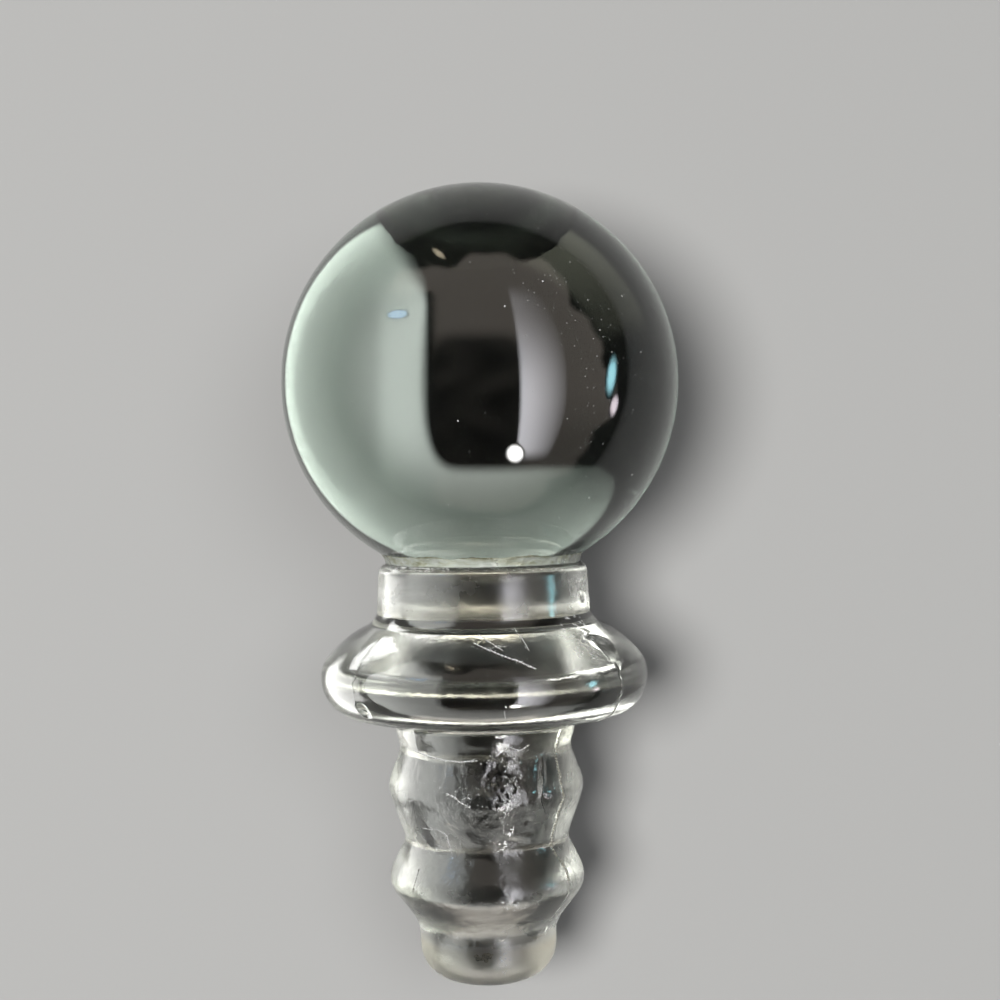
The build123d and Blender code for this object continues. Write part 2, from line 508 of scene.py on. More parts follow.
def base_profile():
    p = [(0.0, SEAT_R)]
    p += [seat(k / 16) for k in range(1, 17)]
    p += line(p[-1], (9.35, 17.2), 5)
    p += arc(p[-1], (9.80, 17.56), (10.03, 18.2), 7)
    p += line(p[-1], (10.27, 21.95), 18)
    p += arc(p[-1], (10.56, 22.52), (11.12, 23.1), 8)
    p += arc(p[-1], (13.42, 24.47), (15.27, 26.4), 26)
    p += arc(p[-1], (15.70, 28.05), (15.42, 29.45), 15)
    p += arc(p[-1], (14.27, 31.0), (12.7, 31.65), 15)
    p += line(p[-1], (10.1, 31.65), 8)
    p += arc(p[-1], (9.06, 32.1), (8.62, 33.3), 9)
    p += line(p[-1], (8.30, 34.3), 5)
    p += arc(p[-1], (8.21, 34.8), (8.33, 35.4), 6)
    p += line(p[-1], (9.22, 37.85), 13)
    p += arc(p[-1], (9.324, 38.1), (9.36, 38.35), 3)
    p += line(p[-1], (9.36, 39.0), 3)
    p += arc(p[-1], (9.322, 39.2), (9.22, 39.45), 3)
    p += line(p[-1], (7.95, 43.1), 19)
    p += arc(p[-1], (7.83, 43.55), (7.97, 44.1), 7)
    p += line(p[-1], (9.15, 46.45), 13)
    p += arc(p[-1], (9.295, 46.8), (9.36, 47.15), 4)
    p += line(p[-1], (9.36, 47.75), 3)
    p += arc(p[-1], (9.275, 48.12), (9.08, 48.5), 4)
    p += line(p[-1], (7.50, 50.6), 13)
    p += arc(p[-1], (6.86, 51.6), (6.56, 52.4), 8)
    p += line(p[-1], (6.55, 54.0), 7)
    p += curve([(6.55, 54.0), (6.42, 54.85), (6.07, 55.65), (5.42, 56.4), (4.45, 57.0), (2.6, 57.4)], (0, 1), (-1, 0), 4)
    p += line(p[-1], (0.0, 57.4), 4)
    return np.array(p)


def eased(prof):
    """The profile with its corners eased by pressing, more on the plug than above it."""
    step = np.r_[0, np.cumsum(np.hypot(*np.diff(prof, axis=0).T))]
    width = np.gradient(step)
    sigma = np.interp(prof[:, 1], [17.0, 22.0, 31.5, 34.0, 57.4], [0.03, 0.08, 0.10, 0.33, 0.42])
    sigma[:22] = 0.01
    w = np.exp(-0.5 * ((step[:, None] - step[None, :]) / sigma[:, None]) ** 2) * width[None, :]
    out = w @ prof / w.sum(1)[:, None]
    out[:22], out[-1] = prof[:22], prof[-1]
    return out


# each mould seam: s and azimuth of points that it passes through
SEAMS = (
    ((17, -50), (28, -49), (37.3, -49.5), (39.5, -46.6), (41.6, -46.9), (45.8, -41.5), (48.1, -44.9), (58, -45)),
    ((17, 53), (28.7, 53.1), (33.8, 53.8), (35.2, 53.2), (37.4, 50.1), (38.8, 50.4), (41.2, 48.9), (43.6, 49.5), (45.8, 55.4), (48.1, 55.6), (58, 54)),
    ((17, 130), (36, 131.5), (44, 128.5), (58, 130)),
    ((17, 230), (33, 228.5), (42, 231), (50, 229.5), (58, 230)),
)


def seam_at(s, k):
    x, y = np.array(SEAMS[k], float).T
    return np.interp(s, x, y) + 0.5 * np.sin(np.asarray(s) * 2.9 + k) + 0.35 * np.sin(np.asarray(s) * 6.1 + 2 * k)


BASE_PROFILE = eased(base_profile())


def base_radius(s):
    q = BASE_PROFILE[21:]
    return np.interp(s, q[:, 1], q[:, 0], left=0.0, right=0.0)


def on_base(x, y):
    """s and azimuth of the point of the bare profile that the main camera sees at a place in its picture."""
    q = EYE + np.linspace(125, 200, 7501)[:, None] * ray(x, y) - CENTRE
    s = q @ ALONG
    w = q - s[:, None] * ALONG
    r = np.linalg.norm(w, axis=1)
    inside = (s > 17.2) & (s < 57.4) & (r < base_radius(s))
    i = int(np.argmax(inside))
    return (float(s[i]), math.degrees(math.atan2(w[i] @ SIDE, w[i] @ UP))) if inside.any() else None


def blob(s, az, r, at, tall, wide, turn=0.0, power=2.0):
    """1 at a place (s, azimuth) of the surface, falling to 0 about `tall` by `wide` millimetres away."""
    y = s - at[0]
    x = np.radians((az - at[1] + 180) % 360 - 180) * r
    c, n = math.cos(math.radians(turn)), math.sin(math.radians(turn))
    return np.exp(-(((y * c + x * n) / tall) ** 2 + ((-y * n + x * c) / wide) ** 2) ** (power / 2))


def creases(p, scale, seed):
    """Noise with sharp folds where it crosses zero."""
    return 0.5 - np.abs(noise(p, scale, seed)) * 1.6


SCOOPS = (
    # azimuth, s, r, outward slope, depth, tool radius
    (-46.0, 29.85, 15.22, 40.0, 0.30, 1.05),
    (67.0, 19.5, 10.12, 0.0, 0.22, 3.4),
    (52.0, 24.8, 13.87, -52.0, 0.45, 7.0),
)


def make_base(materials):
    prof = BASE_PROFILE
    near = np.array([-2.4, -1.5, -0.9, -0.5, -0.22, 0.0, 0.22, 0.5, 0.9, 1.5, 2.4])
    centre_az = [float(seam_at(40.0, k)) for k in range(4)]
    angles = []
    for k, a in enumerate(centre_az):
        nxt = centre_az[(k + 1) % 4] + (360 if k == 3 else 0)
        angles += list(a + near)
        lo, hi = a + near[-1], nxt + near[0]
        n = int(round((hi - lo) / (0.72 if k == 0 else 1.9)))
        angles += list(np.linspace(lo, hi, n + 1)[1:-1])
    angles = np.array(angles)
    inner = prof[1:-1]
    S, R = inner[:, 1], inner[:, 0]
    A = np.repeat(angles[None, :], len(inner), 0)
    # the columns follow the seams as they wander
    for k, a in enumerate(centre_az):
        d = (angles - a + 180) % 360 - 180
        w = np.clip(1 - np.abs(d) / 32, 0, 1)
        A = A + np.outer(seam_at(S, k) - a, w * w * (3 - 2 * w))
    s = np.repeat(S[:, None], len(angles), 1)
    r = np.repeat(R[:, None], len(angles), 1)
    t = np.gradient(inner, axis=0)
    t /= np.linalg.norm(t, axis=1)[:, None]
    nr, ns = t[:, 1], -t[:, 0]
    P = place(s, r, A) / MM
    outside = smooth(S, 18.0, 18.4) * (np.arange(len(S)) > 20)
    d = np.zeros_like(s)
    az = (A + 180) % 360 - 180
    # mould seams: a fine ridge
    for k in range(4):
        off = ((A - seam_at(s, k) + 180) % 360 - 180) * np.pi / 180 * r
        high = (0.014, 0.075, 0.030, 0.025)[k]
        strong = window(s, 23.5, 53.0, 0.8) * (0.8 + 0.9 * noise(P, 1.9, 11 + k))
        d += high * np.exp(-((off / 0.13) ** 2)) * strong
        # the two halves of the mould don't quite meet
        d += (0.0, 0.012, 0.01, -0.01)[k] * np.tanh(off / 0.12) * np.exp(-((off / 1.6) ** 2)) * window(s, 33, 52, 0.8)
    # chill wrinkles: soft all over the plug, with folds on its front
    warp = P + 0.8 * np.stack([noise(P, 2.4, 5), noise(P, 2.4, 6), noise(P, 2.4, 7)], -1)
    plug = window(s, 33.0, 56.0, 1.0)
    d += plug * 0.050 * fractal(warp, 2.6, 3, 21)
    front = window(az, -47, 46, 5) * window(s, 34.6, 45.2, 1.0)
    d += front * 0.060 * fractal(warp, 1.3, 3, 25)
    d += front * 0.050 * creases(warp, 1.9, 33) * smooth(noise(P, 3.6, 35), -0.15, 0.25)
    # the worst of them, where the glass met the mould cold
    cold = blob(s, az, r, (36.6, 6.0), 1.8, 1.5, 0, 3)
    d += cold * (0.34 * fractal(warp, 1.0, 2, 43) - 0.10)
    cold = blob(s, az, r, (36.8, 20.0), 2.0, 1.1, 8)
    d += cold * (0.08 + 0.18 * fractal(warp, 1.1, 2, 47))
    d += 0.16 * blob(s, az, r, (36.5, 37.0), 1.9, 0.30, -16) * smooth(s, 34.4, 35.2)
    d -= 0.14 * blob(s, az, r, (36.9, 33.0), 1.4, 0.38, -22)
    d += 0.10 * blob(s, az, r, (42.4, -37.0), 1.5, 0.9, 20, 4) - 0.08 * blob(s, az, r, (43.6, -30.0), 0.5, 1.6, 0)
    d += 0.08 * blob(s, az, r, (43.2, 12.0), 0.38, 1.7, 4) + 0.08 * blob(s, az, r, (42.2, 22.0), 0.42, 1.4, -12)
    # the worst of the drag where the neck meets the first rib
    d += 0.07 * blob(s, az, r, (35.0, -30.0), 0.16, 3.2, -3) - 0.06 * blob(s, az, r, (35.4, -30.0), 0.20, 3.0, -3)
    d += 0.10 * blob(s, az, r, (35.1, 18.0), 0.45, 1.6, 14, 3) * (1 + 1.2 * noise(P, 0.8, 75))
    # a ring of small waves round the foot of the cone, and on the nose
    d += window(s, 50.0, 53.6, 0.5) * 0.028 * fractal(P * np.array((1.0, 1.6, 1.0)), 1.5, 2, 53)
    # the flange and the collar are smoother, and gently uneven
    d += window(s, 18.5, 31.5, 0.6) * 0.016 * fractal(P, 4.5, 2, 29)
    d += window(s, 23.0, 27.5, 0.8) * window(az, -45, 45, 8) * 0.010 * fractal(P, 1.8, 2, 31)
    drag = np.stack([np.radians(az) * r * 0.28 + s * 0.55, s * 1.3 - np.radians(az) * r * 0.30, 0 * s], -1)
    d += window(s, 18.9, 21.6, 0.5) * (0.011 * fractal(drag, 0.75, 3, 71) + 0.006 * fractal(P, 1.5, 2, 72))
    d += 0.020 * blob(s, az, r, (19.9, -55.0), 0.30, 6.5, 0, 4) - 0.014 * blob(s, az, r, (19.2, -50.0), 0.30, 5.0, 0, 4)
    d *= outside[:, None]
    r = r + d * nr[:, None]
    s = s + d * ns[:, None]
    P = place(s, r, A) / MM
    for n, (azm, cs, cr, slope, depth, tool) in enumerate(SCOOPS):
        b = math.radians(slope)
        o = tool - depth
        c = place(np.array(cs + o * math.sin(b)), np.array(cr + o * math.cos(b)), azm) / MM
        v = place(np.array(cs), np.array(cr), azm) / MM - c
        v /= np.linalg.norm(v)
        q = P - c
        flat = np.linalg.norm(q - (q @ v)[..., None] * v, axis=-1)
        inside = (np.linalg.norm(q, axis=-1) < tool) & (q @ v > 0)
        h = np.sqrt(np.maximum(tool**2 - flat**2, 0))
        # the ball stands outside, so the cut surface is its near cap
        move = np.where(inside, h - q @ v, 0.0)
        if n == 1:
            ripple = 0.05 * fractal(P, 0.5, 2, 41)
        elif n == 2:
            hackle = 1 - smooth(az, 46.5, 50.0)
            across = P @ np.array((0.75, -0.66, 0.0))
            ripple = hackle * (0.045 * np.sin(across * 6.5 + 3 * noise(P, 1.1, 45)) + 0.03 * fractal(P, 0.9, 2, 46))
            ripple = ripple + (1 - hackle) * 0.012 * np.sin(flat * 5.0)
        else:
            ripple = 0.05 * fractal(P, 0.5, 2, 44)
        move = np.where(inside, np.maximum(move + ripple * np.clip(move / 0.08, 0, 1), 0), 0.0)
        P = P + move[..., None] * v
    # the base colour: stains, and painted shade on the neck and on the first rib's lower slope
    stain_and_shade = np.ones(s.shape + (3,))
    warm = np.array((0.93, 0.85, 0.72))
    for amount, colour in (
        (smooth(s, 52.4, 53.6), warm),
        (window(s, 21.0, 22.5, 0.4), np.array((1.0, 0.96, 0.90))),
        # painted shade: the neck under the flange darkened, with an olive tint
        (window(s, 32.2, 34.9, 0.5), np.array((0.78, 0.77, 0.68))),
        (window(s, 34.9, 52.0, 0.5), np.array((0.93, 0.93, 0.90))),
        # residue in the cold folds and round the root of the nose, and painted shade below the folds
        (smooth(blob(s, az, r, (36.6, 5.2), 1.75, 1.30, 0, 3) + 0.75 * fractal(warp, 0.95, 3, 81), 0.50, 0.72), np.array((0.05, 0.05, 0.05))),
        # painted shade: a dark patch on the lower slope of the first rib
        (smooth(blob(s, az, r, (38.9, 9.0), 0.7, 1.6, 0, 3) + 0.8 * fractal(warp, 0.7, 3, 85), 0.75, 0.95) * 0.7, np.array((0.15, 0.15, 0.14))),
        (smooth(blob(s, az, r, (36.8, 35.0), 1.5, 0.34, -22, 3) + 0.3 * fractal(warp, 0.6, 2, 86), 0.50, 0.8) * 0.8, np.array((0.12, 0.13, 0.14))),
        (
            smooth(window(s, 51.75, 52.85, 0.28) * window(az, -46, 44, 9) + 0.55 * fractal(P * np.array((0.6, 1.0, 1.0)), 0.8, 3, 83), 0.45, 0.85) * 0.85,
            np.array((0.18, 0.18, 0.15)),
        ),
    ):
        stain_and_shade *= 1 - amount[..., None] * (1 - colour)
    verts = np.concatenate(
        [place(np.array([SEAT_R]), np.array([0.0]), 0.0), (P * MM).reshape(-1, 3), place(np.array([57.4]), np.array([0.0]), 0.0)]
    )
    faces = lathe_faces(len(prof), len(angles))
    glass_faces = len(faces)
    flakes = Flakes(len(verts))
    base_marks(flakes, Skin(S, A, P))
    verts = np.concatenate([verts, flakes.array()])
    o = mesh_object("base", verts, faces + flakes.faces, materials)
    o.data.polygons.foreach_set("material_index", [0] * glass_faces + flakes.kinds)
    colour = np.ones((len(verts), 4))
    colour[1 : 1 + stain_and_shade.shape[0] * stain_and_shade.shape[1], :3] = stain_and_shade.reshape(-1, 3)
    o.data.attributes.new("stain_and_shade", "FLOAT_COLOR", "POINT").data.foreach_set("color", colour.ravel())
    return o


class Flakes:
    """Thin closed slivers that lie on a surface: 1 is frosted glass, 2 dark residue and 3 the worn seam."""

    def __init__(self, start):
        self.start, self.verts, self.faces, self.kinds, self.kind = start, [], [], [], 1

    def add(self, rim, centre, n, thick):
        """A sliver over a closed outline, in millimetres, lying on a surface of normal n."""
        base = self.start + len(self.verts)
        k = len(rim)
        self.verts += [tuple(p + n * thick * 0.2) for p in rim]
        self.verts += [tuple(centre + n * thick), tuple(centre - n * thick)]
        for i in range(k):
            j = (i + 1) % k
            self.faces += [(base + i, base + j, base + k), (base + j, base + i, base + k + 1)]
        self.kinds += [self.kind] * (2 * k)

    def array(self):
        return np.array(self.verts).reshape(-1, 3) * MM


class Skin:
    """The finished outer surface, by s and azimuth."""

    def __init__(self, S, A, P):
        keep = np.arange(len(S)) > 20
        self.S, self.A, self.P = S[keep], A[keep], P[keep]

    def at(self, s, az):
        """A point of the surface, its outward normal, and the two directions along it."""
        i = int(np.clip(np.argmin(np.abs(self.S - s)), 1, len(self.S) - 2))
        if self.S[i] > s:
            i -= 1
        t = float(np.clip((s - self.S[i]) / max(self.S[i + 1] - self.S[i], 1e-6), 0, 1))
        a = (self.A[i] - az + 180) % 360 - 180
        j = int(np.argmin(np.abs(a)))
        if a[j] > 0:
            j -= 1
        k = (j + 1) % len(a)
        w = float(np.clip(-a[j] / max(a[k] - a[j], 1e-6), 0, 1))
        P = self.P
        p = (P[i, j] * (1 - w) + P[i, k] * w) * (1 - t) + (P[i + 1, j] * (1 - w) + P[i + 1, k] * w) * t
        ahead = P[i + 1, j] - P[i, j]
        round_ = P[i, k] - P[i, j]
        n = np.cross(ahead, round_)
        n /= np.linalg.norm(n)
        out = p - CENTRE - ((p - CENTRE) @ ALONG) * ALONG
        n = n if n @ out > 0 else -n
        ahead = ahead / np.linalg.norm(ahead)
        return p, n, ahead, np.cross(n, ahead)


def speck(flakes, frame_, size, stretch=1.0, turn=0.0, thick=0.03, sink=0.0, rng=None):
    p, n, a, b = frame_
    c, q = math.cos(turn), math.sin(turn)
    u, v = a * c + b * q, -a * q + b * c
    k = 6
    rim = []
    for i in range(k):
        w = 2 * math.pi * i / k + rng.uniform(-0.25, 0.25)
        g = size * rng.uniform(0.7, 1.15)
        rim.append(p + u * math.cos(w) * g * stretch + v * math.sin(w) * g - n * sink)
    if np.cross(rim[1] - rim[0], rim[2] - rim[1]) @ n < 0:
        rim.reverse()
    flakes.add(rim, p - n * sink, n, thick)


def scratch(flakes, skin, points, width, thick=0.028, sink=0.0, rng=None):
    """A tapering white line through places (s, azimuth), in short overlapping pieces."""
    path = [skin.at(*q) for q in points]
    for (p0, n0, _, _), (p1, n1, _, _) in zip(path[:-1], path[1:]):
        length = np.linalg.norm(p1 - p0)
        steps = max(int(length / 0.30), 1)
        for i in range(steps):
            t0, t1 = i / steps - 0.03, (i + 1) / steps + 0.03
            a, b = p0 + (p1 - p0) * t0, p0 + (p1 - p0) * t1
            n = n0 + (n1 - n0) * (t0 + t1) / 2
            n /= np.linalg.norm(n)
            # down to the surface under the straight line
            q = (a + b) / 2 - CENTRE
            w = q - (q @ ALONG) * ALONG
            here = skin.at(float(q @ ALONG), math.degrees(math.atan2(w @ SIDE, w @ UP)))[0]
            drop = ((here - CENTRE - q) @ n) * n
            a, b = a + drop, b + drop
            d = (b - a) / np.linalg.norm(b - a)
            side = np.cross(n, d)
            w = width * rng.uniform(0.55, 1.15)
            shift = side * rng.uniform(-0.3, 0.3) * width
            rim = [a + shift, a + (b - a) * 0.35 - side * w + shift, b - (b - a) * 0.25 - side * w * 0.8 + shift, b + shift,
                   b - (b - a) * 0.3 + side * w * 0.9 + shift, a + (b - a) * 0.3 + side * w + shift]
            if np.cross(rim[1] - rim[0], rim[2] - rim[1]) @ n < 0:
                rim.reverse()
            flakes.add([q - n * sink for q in rim], (a + b) / 2 + shift - n * sink, n, thick)


def base_marks(flakes, skin):
    """Scratches, flakes in the chips, residue and specks, by where the main camera sees them."""
    rng = np.random.RandomState(731)
    lines = (
        (((473, 643), (486, 649), (500, 655), (515, 660), (536, 669)), 0.10),
        (((478, 634), (486, 640), (494, 645), (503, 651)), 0.07),
        (((488, 650), (497, 646), (507, 647)), 0.05),
        (((514, 627), (520, 636), (529, 651)), 0.05),
        (((446, 794), (454, 797), (461, 803), (471, 808)), 0.09),
        (((462, 800), (467, 797), (471, 800)), 0.06),
        (((500, 750), (509, 747), (519, 751), (529, 745)), 0.08),
        (((423, 828), (436, 829), (447, 835), (450, 848), (452, 860)), 0.05),
        (((413, 750), (428, 756), (444, 760), (460, 762), (478, 761)), 0.08),
        (((503, 806), (510, 803), (517, 806)), 0.10),
        (((621, 690), (619, 699), (616, 710)), 0.06),
        (((504, 711), (506, 722)), 0.04),
    )
    for pts, width in lines:
        at = [on_base(*q) for q in pts]
        scratch(flakes, skin, [q for q in at if q], width, rng=rng)
        # its splintered edges
        for (x0, y0), (x1, y1) in zip(pts[:-1], pts[1:]):
            for _ in range(int(math.hypot(x1 - x0, y1 - y0) * width * 7)):
                k, off = rng.uniform(0, 1), rng.normal() * 22 * width
                c = math.hypot(x1 - x0, y1 - y0)
                q = on_base(x0 + (x1 - x0) * k - (y1 - y0) / c * off, y0 + (y1 - y0) * k + (x1 - x0) / c * off)
                if q:
                    speck(flakes, skin.at(*q), 0.035 * rng.uniform(0.5, 1.4), 2.2, rng.uniform(0, math.pi), 0.012, 0.0, rng)
    # the crest of the seam that faces the camera's right is worn
    flakes.kind = 3
    worn = np.linspace(33.4, 47.0, 50)
    for shift, width in ((-0.55, 0.075), (0.25, 0.095), (0.75, 0.05)):
        scratch(flakes, skin, [(float(q), float(seam_at(q, 1)) + shift * (0.8 + 0.5 * math.sin(q * 3.1 + shift))) for q in worn], width, 0.020, rng=rng)
    flakes.kind = 1
    flakes.kind = 2
    for pts, width in (
        (((413, 800), (415, 815), (419, 830)), 0.05),
        (((419, 868), (416, 880), (413, 893)), 0.06),
        (((566, 858), (573, 870), (576, 884)), 0.06),
        (((545, 812), (541, 800), (543, 780), (540, 765)), 0.07),
    ):
        scratch(flakes, skin, [q for q in (on_base(*q) for q in pts) if q], width, rng=rng)
    # (kind, middle and half size in the picture, how many, size, stretch, turn)
    fields = (
        (1, (574, 628, 15, 16), 40, 0.075, 3.2, 0.9),
        (1, (588, 648, 14, 13), 40, 0.075, 3.2, 0.9),
        (1, (578, 588, 11, 17), 90, 0.075, 1.4, None),
        (2, (575, 588, 12, 16), 60, 0.050, 1.2, None),
        (1, (420, 568, 36, 4), 150, 0.070, 1.5, None),
        (1, (512, 569, 60, 2), 44, 0.045, 1.5, None),
        (2, (524, 566, 30, 1), 40, 0.050, 2.0, 1.57),
        (1, (510, 806, 10, 7), 34, 0.080, 1.4, None),
        (1, (513, 782, 9, 24), 70, 0.060, 1.8, 0.2),
        (1, (500, 760, 22, 8), 44, 0.055, 1.8, 0.9),
        (1, (455, 803, 34, 20), 150, 0.046, 1.3, None),
        (1, (430, 775, 24, 26), 80, 0.040, 1.3, None),
        (1, (436, 842, 16, 15), 60, 0.050, 1.4, None),
        (1, (470, 842, 40, 10), 50, 0.035, 1.4, None),
        (1, (514, 907, 13, 4), 26, 0.070, 1.5, None),
        (1, (480, 906, 66, 3), 70, 0.035, 1.6, None),
        (1, (505, 958, 6, 16), 30, 0.070, 1.2, None),
        (1, (500, 660, 95, 28), 70, 0.030, 1.2, None),
        (1, (560, 640, 60, 28), 60, 0.035, 1.4, None),
        (1, (490, 835, 85, 65), 90, 0.030, 1.2, None),
        (1, (490, 592, 100, 18), 50, 0.030, 1.2, None),
        (1, (500, 706, 140, 16), 60, 0.032, 1.2, None),
    )
    for kind, (x, y, dx, dy), count, size, stretch, turn in fields:
        flakes.kind = kind
        for _ in range(count):
            a, k = rng.uniform(0, 2 * math.pi), rng.uniform(0, 1) ** 0.6
            at = on_base(x + dx * k * math.cos(a), y + dy * k * math.sin(a))
            g = size * rng.uniform(0.4, 1.25)
            w = rng.uniform(0, math.pi) if turn is None else turn + rng.uniform(-0.3, 0.3)
            if at is None or at[0] > 56.5:
                continue
            speck(flakes, skin.at(*at), g, stretch, w, 0.22 * g + 0.006, 0.0, rng)


# --------------------------------------------------------------------- bond
def make_bond(material):
    n = 360
    az = np.arange(n) * 360.0 / n
    inner_r, outer_r = BALL_R - 0.02, SEAT_R + 0.02
    rows_s, rows_r = [], []
    ring = np.stack([np.cos(np.radians(az)), np.sin(np.radians(az)), np.zeros(n)], -1)
    edge = 9.74 + 0.42 * fractal(ring * 9.7, 2.4, 5, 51, 0.62)
    edge = np.clip(edge, 9.45, 10.05)
    # film against the ball, from the axis outward
    for k in range(1, 19):
        r = edge * k / 18
        rows_r.append(r)
        rows_s.append(np.sqrt(inner_r**2 - r**2))
    top_s = rows_s[-1]
    # the bead's hollow face down to the collar
    foot = 9.30 + 0.16 * fractal(ring * 9.3, 1.3, 4, 57, 0.6)
    for k in range(1, 9):
        t = k / 8
        r = edge + (foot - edge) * (1 - (1 - t) ** 1.8)
        s = top_s + (TOP_S + 0.02 - top_s) * t
        rr = r + 0.10 * math.sin(math.pi * t) * fractal(np.stack([np.cos(np.radians(az)) * 9.5, np.sin(np.radians(az)) * 9.5, np.full(n, s.mean())], -1), 0.8, 3, 61)
        rows_r.append(rr if k < 8 else foot)
        rows_s.append(s)
    e = math.sqrt(outer_r**2 - (TOP_S + 0.02) ** 2)
    for k in range(1, 4):
        rows_r.append(foot + (e - foot) * k / 3)
        rows_s.append(np.full(n, TOP_S + 0.02))
    for k in range(1, 17):
        a = (1 - k / 17) * math.asin(e / outer_r)
        rows_r.append(np.full(n, outer_r * math.sin(a)))
        rows_s.append(np.full(n, outer_r * math.cos(a)))
    R, S = np.array(rows_r), np.array(rows_s)
    verts = np.concatenate(
        [
            place(np.array([inner_r]), np.array([0.0]), 0.0),
            place(S, R, az[None, :]).reshape(-1, 3),
            place(np.array([outer_r]), np.array([0.0]), 0.0),
        ]
    )
    o = mesh_object("bond", verts, lathe_faces(len(R) + 2, n), material)
    outward(o)
    return o


frosted = frosted_material()
ball = make_ball([glass_ball_material(), frosted])
base = make_base([glass_base_material(), frosted, residue_material(), worn_material()])
bond = make_bond(adhesive_material())
for piece, node, slot in (
    (ball, "ball_knob", "ball_glass"),
    (base, "plug_base", "base_glass"),
    (bond, "bond_bead", "adhesive"),
):
    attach(piece, "root")
    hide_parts(node)

# -------------------------------------------------------------------- stage
scene = bpy.context.scene


def floor_material():
    m, nt, b, out = new_material("pale_floor")
    b.inputs["Base Color"].default_value = (0.45, 0.45, 0.445, 1)
    b.inputs["Roughness"].default_value = 0.9
    b.inputs["Specular IOR Level"].default_value = 0.1
    return m


floor = mesh_object(
    "floor",
    np.array([(-3, -3, 0), (3, -3, 0), (3, 3, 0), (-3, 3, 0)], float),
    [(0, 1, 2, 3)],
    floor_material(),
)

world = bpy.data.worlds.new("studio")
scene.world = world
world.use_nodes = True
world.node_tree.nodes["Background"].inputs["Color"].default_value = (0.034, 0.0335, 0.032, 1)
world.node_tree.nodes["Background"].inputs["Strength"].default_value = 1.0

# ------------------------------------------------------------------- camera
cam_data = bpy.data.cameras.new("camera")
cam = bpy.data.objects.new("camera", cam_data)
scene.collection.objects.link(cam)
cam_data.sensor_fit = "HORIZONTAL"
cam_data.sensor_width = 36.0
cam_data.lens = 36.0 * FOCAL / 1000.0
m = Matrix.Identity(4)
for i in range(3):
    m[i][0], m[i][1], m[i][2], m[i][3] = Rt[i], -Dn[i], -F[i], EYE[i] * MM
cam.matrix_world = m
cam_data.clip_start, cam_data.clip_end = 0.01, 20.0
scene.camera = cam


# ------------------------------------------------------------------- lights
# The soft boxes are curved, and lie on a dome about the stopper. Each is laid
# out by where its reflection falls on the ball as the main camera sees it, in
# ball radii right and down from the ball's centre.
DOME_R = 700.0
DOME_C = np.array((0.0, 8.0, 0.0))


def mirrored(u, v):
    """Where on the dome the main camera sees, mirrored in the ball's front, at (u, v)."""
    reach = math.sqrt(EYE_FAR**2 - BALL_R**2) / EYE_FAR * BALL_R
    mid = CENTRE - EYE
    zc = mid / EYE_FAR
    xc = Rt - zc * (Rt @ zc)
    xc /= np.linalg.norm(xc)
    yc = np.cross(zc, xc)
    tan = BALL_R / math.sqrt(EYE_FAR**2 - BALL_R**2)
    d = zc + (u * xc + v * yc) * tan
    d /= np.linalg.norm(d)
    b = d @ mid
    h = b * b - (mid @ mid - BALL_R**2)
    n = EYE + d * (b - math.sqrt(max(h, 0.0))) - CENTRE
    n /= np.linalg.norm(n)
    r = d - 2 * (d @ n) * n
    q = CENTRE + n * BALL_R - DOME_C
    k = -(q @ r) + math.sqrt((q @ r) ** 2 - q @ q + DOME_R**2)
    return q + DOME_C + k * r, r


def glow_material(name, colour, strength, small=False):
    m = bpy.data.materials.new(name)
    m.use_nodes = True
    nt = m.node_tree
    nt.nodes.remove(nt.nodes["Principled BSDF"])
    e = nt.nodes.new("ShaderNodeEmission")
    e.inputs["Color"].default_value = (*colour, 1)
    a = nt.nodes.new("ShaderNodeAttribute")
    a.attribute_name = "glow"
    nt.links.new(maths(nt, "MULTIPLY", a.outputs["Fac"], strength), e.inputs["Strength"])
    nt.links.new(e.outputs["Emission"], nt.nodes["Material Output"].inputs["Surface"])
    if not small:
        m.cycles.emission_sampling = "NONE"
    return m


def see_through(box):
    """What stands behind the box shows through it."""
    nt = box.data.materials[0].node_tree
    add, clear = nt.nodes.new("ShaderNodeAddShader"), nt.nodes.new("ShaderNodeBsdfTransparent")
    nt.links.new(nt.nodes["Emission"].outputs["Emission"], add.inputs[0])
    nt.links.new(clear.outputs["BSDF"], add.inputs[1])
    nt.links.new(add.outputs["Shader"], nt.nodes["Material Output"].inputs["Surface"])
    return box


def not_straight(box):
    """The box is seen at a tenth of its strength straight through the glass, and in full mirrored on it or inside it.
    """
    nt = box.data.materials[0].node_tree
    path = nt.nodes.new("ShaderNodeLightPath")
    strength = nt.nodes["Emission"].inputs["Strength"]
    shallow = maths(nt, "LESS_THAN", path.outputs["Ray Depth"], 2.5)
    straight = maths(nt, "MULTIPLY", shallow, path.outputs["Is Transmission Ray"])
    kept = maths(nt, "SUBTRACT", 1.0, maths(nt, "MULTIPLY", straight, 0.9))
    nt.links.new(maths(nt, "MULTIPLY", strength.links[0].from_socket, kept), strength)
    return box


